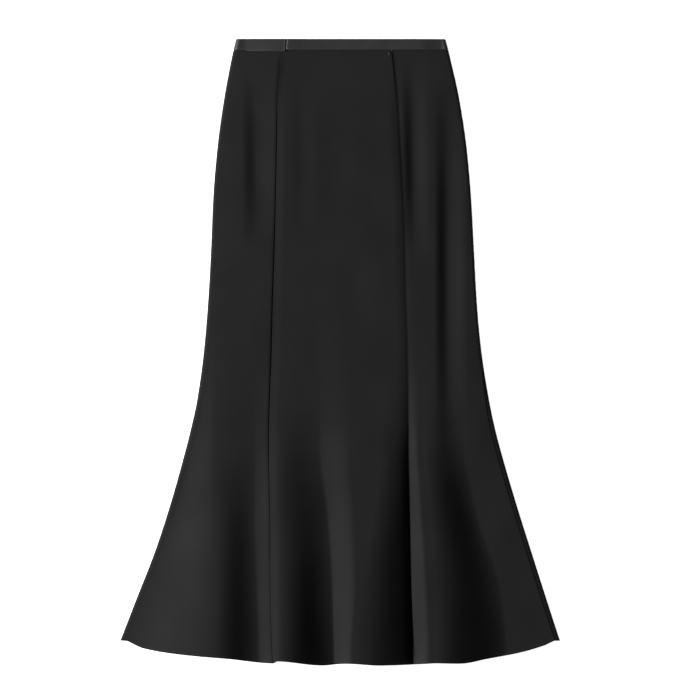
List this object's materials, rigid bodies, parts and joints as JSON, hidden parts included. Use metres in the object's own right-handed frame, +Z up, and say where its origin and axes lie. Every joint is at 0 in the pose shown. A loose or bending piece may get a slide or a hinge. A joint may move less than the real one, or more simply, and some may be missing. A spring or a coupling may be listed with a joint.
{
  "type": "mermaid fishtail skirt",
  "caption": "Long fitted skirt cut in gores with a narrow waistband lapped at one side, flaring into soft flutes at the hem, laid flat on its back.",
  "frame": {"origin": "centre of the bounding box at the level of the surface that the skirt lies on", "axes": "+Y from the hem to the waist, +Z up out of the surface and out of the front, +X to the wearer's left side (the right of someone looking at the front)"},
  "size_m": [0.671, 0.956, 0.0521],
  "materials": {
    "crepe": "matte black crepe with a fine pebbled grain and a faint bloom",
    "band": "black ribbed satin band with a soft sheen",
    "zip_tape": "black woven zip tape",
    "zip_metal": "black lacquered metal"
  },
  "bodies": {
    "root": {"front_centre": "crepe", "front_side_left": "crepe", "front_side_right": "crepe", "back_centre": "crepe", "back_side_left": "crepe", "back_side_right": "crepe", "waistband_front": "band", "waistband_back": "band", "side_zip": "zip_tape", "zip_tab": "zip_metal"}
  },
  "joints": []
}
